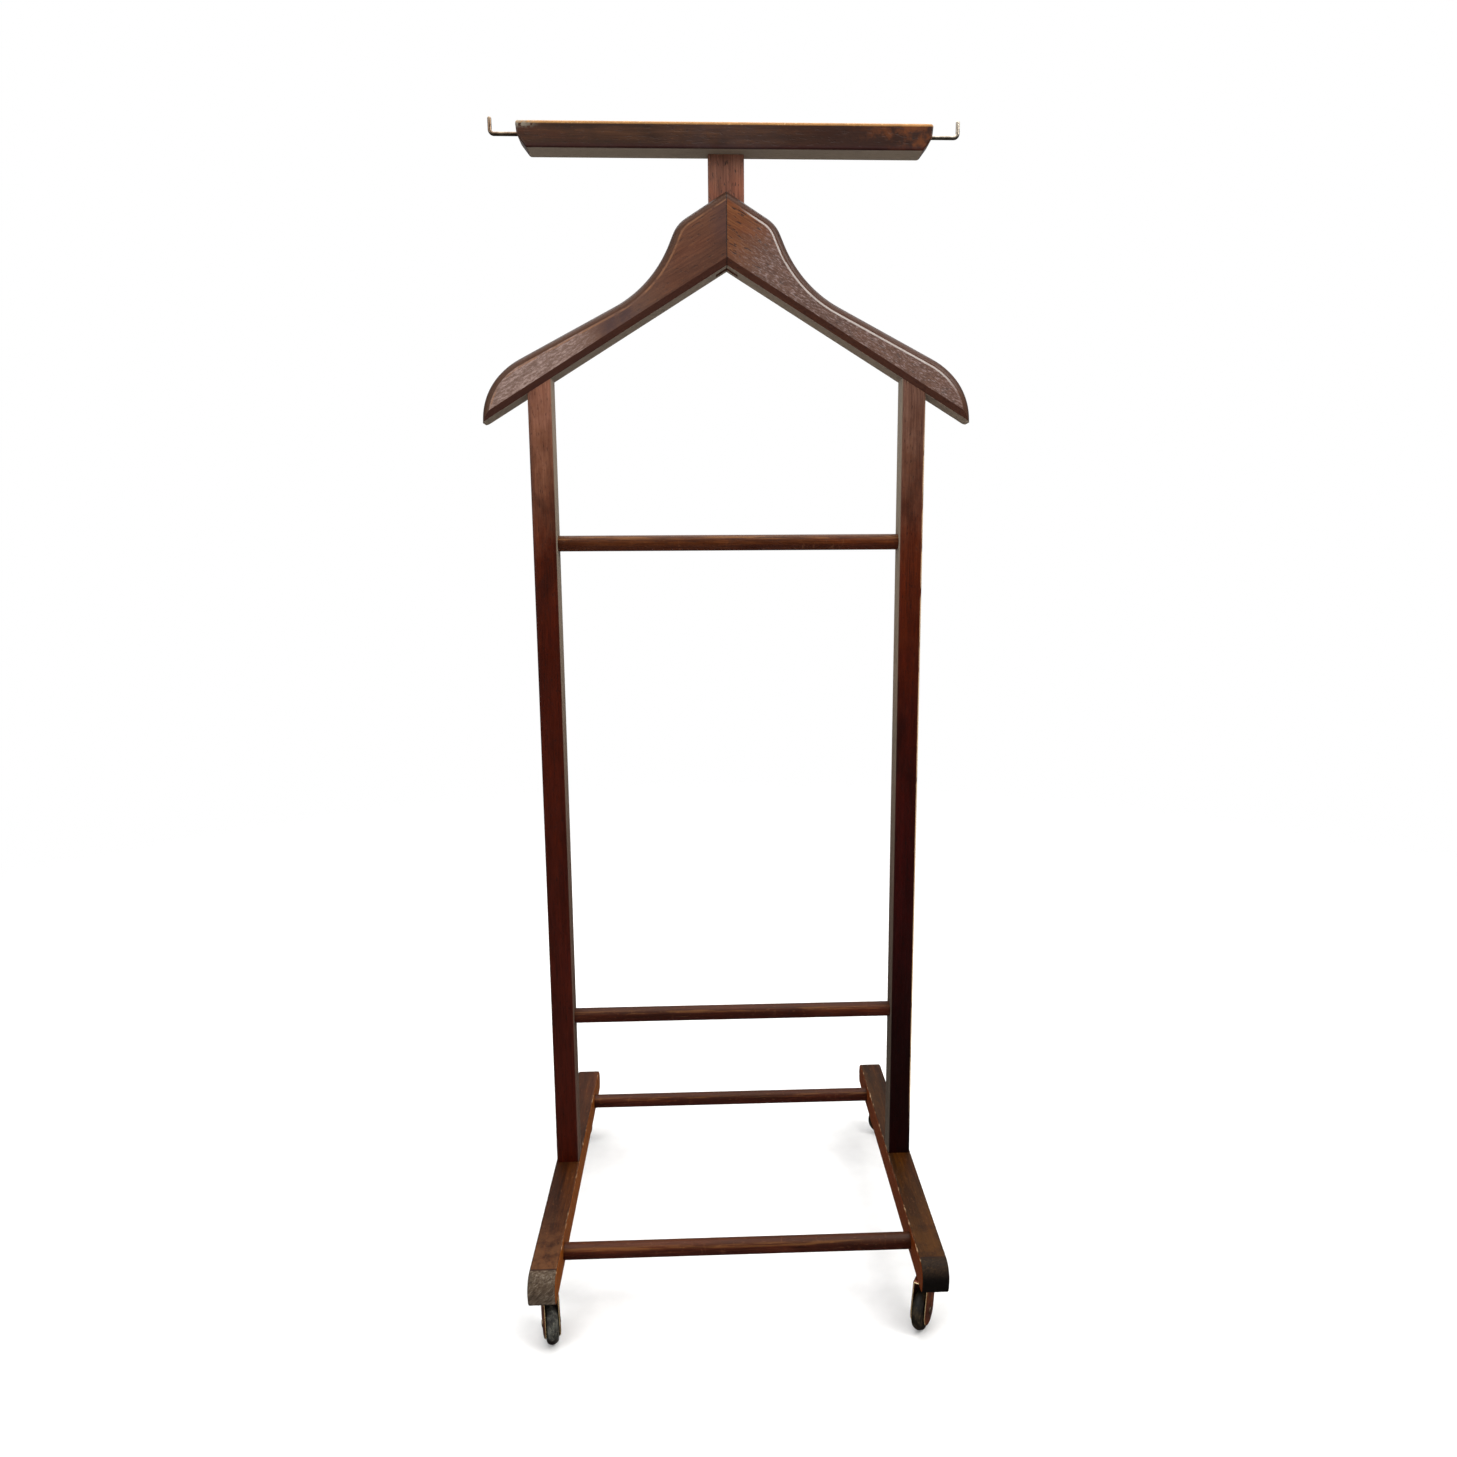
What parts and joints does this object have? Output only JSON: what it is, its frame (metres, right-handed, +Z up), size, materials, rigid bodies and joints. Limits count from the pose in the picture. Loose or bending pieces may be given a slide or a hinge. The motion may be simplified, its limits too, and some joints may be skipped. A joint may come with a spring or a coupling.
{
  "type": "valet stand",
  "caption": "Wooden clothes valet on swivel castors, with a shaped coat hanger, a tray with wire hooks at its ends, and round bars for trousers and shoes.",
  "frame": {"origin": "on the floor, at the middle of the stand's box", "axes": "+Z up, +Y from the front of the stand to its back, +X to the stand's right as seen from the front"},
  "size_m": [0.4606, 0.37, 1.1015],
  "materials": {
    "stained_wood": "reddish brown stain under worn satin varnish",
    "dark_wood": "dark brown stain under worn satin varnish",
    "bare_beech": "bare wood",
    "plated_wire": "tarnished nickel plate",
    "bronzed_metal": "bronzed, worn bright along the edges",
    "steel": "plain",
    "grey_plastic": "moulded",
    "grey_rubber": "dusty, worn"
  },
  "bodies": {
    "stand": {"foot_left": "stained_wood", "post_left": "stained_wood", "hanger_arm_left": "stained_wood", "wire_hook_left": "plated_wire", "foot_right": "stained_wood", "post_right": "stained_wood", "hanger_arm_right": "stained_wood", "wire_hook_right": "plated_wire", "upper_bar": "dark_wood", "lower_bar": "dark_wood", "base_bar_front": "dark_wood", "base_bar_back": "dark_wood", "neck": "dark_wood", "tray": "dark_wood", "post_dowels": "bare_beech", "mitre_dowels": "bare_beech", "foot_screws": "steel", "tray_screws": "steel", "castor_socket_front_left": "steel", "castor_socket_front_right": "steel", "castor_socket_back_left": "steel", "castor_socket_back_right": "steel"},
    "fork_front_left": {"castor_stem_front_left": "steel", "castor_fork_front_left": "bronzed_metal", "castor_axle_front_left": "bronzed_metal"},
    "wheel_front_left": {"castor_core_front_left": "grey_plastic", "castor_tyre_front_left": "grey_rubber"},
    "fork_front_right": {"castor_stem_front_right": "steel", "castor_fork_front_right": "bronzed_metal", "castor_axle_front_right": "bronzed_metal"},
    "wheel_front_right": {"castor_core_front_right": "grey_plastic", "castor_tyre_front_right": "grey_rubber"},
    "fork_back_left": {"castor_stem_back_left": "steel", "castor_fork_back_left": "bronzed_metal", "castor_axle_back_left": "bronzed_metal"},
    "wheel_back_left": {"castor_core_back_left": "grey_plastic", "castor_tyre_back_left": "grey_rubber"},
    "fork_back_right": {"castor_stem_back_right": "steel", "castor_fork_back_right": "bronzed_metal", "castor_axle_back_right": "bronzed_metal"},
    "wheel_back_right": {"castor_core_back_right": "grey_plastic", "castor_tyre_back_right": "grey_rubber"}
  },
  "joints": [
    {"name": "swivel_front_left", "type": "hinge", "parent": "stand", "child": "fork_front_left", "pos_m": [-0.176, -0.1495, 0.0491], "axis": [0, 0, 1], "continuous": true},
    {"name": "roll_front_left", "type": "hinge", "parent": "fork_front_left", "child": "wheel_front_left", "pos_m": [-0.17242, -0.162, 0.0185], "axis": [0.9613, 0.2756, 0], "continuous": true},
    {"name": "swivel_front_right", "type": "hinge", "parent": "stand", "child": "fork_front_right", "pos_m": [0.176, -0.1495, 0.0491], "axis": [0, 0, 1], "continuous": true},
    {"name": "roll_front_right", "type": "hinge", "parent": "fork_front_right", "child": "wheel_front_right", "pos_m": [0.1695, -0.16076, 0.0185], "axis": [0.866, -0.5, 0], "continuous": true},
    {"name": "swivel_back_left", "type": "hinge", "parent": "stand", "child": "fork_back_left", "pos_m": [-0.176, 0.1495, 0.0491], "axis": [0, 0, 1], "continuous": true},
    {"name": "roll_back_left", "type": "hinge", "parent": "fork_back_left", "child": "wheel_back_left", "pos_m": [-0.18887, 0.15131, 0.0185], "axis": [-0.1392, -0.9903, 0], "continuous": true},
    {"name": "swivel_back_right", "type": "hinge", "parent": "stand", "child": "fork_back_right", "pos_m": [0.176, 0.1495, 0.0491], "axis": [0, 0, 1], "continuous": true},
    {"name": "roll_back_right", "type": "hinge", "parent": "fork_back_right", "child": "wheel_back_right", "pos_m": [0.18887, 0.15131, 0.0185], "axis": [-0.1392, 0.9903, 0], "continuous": true}
  ]
}
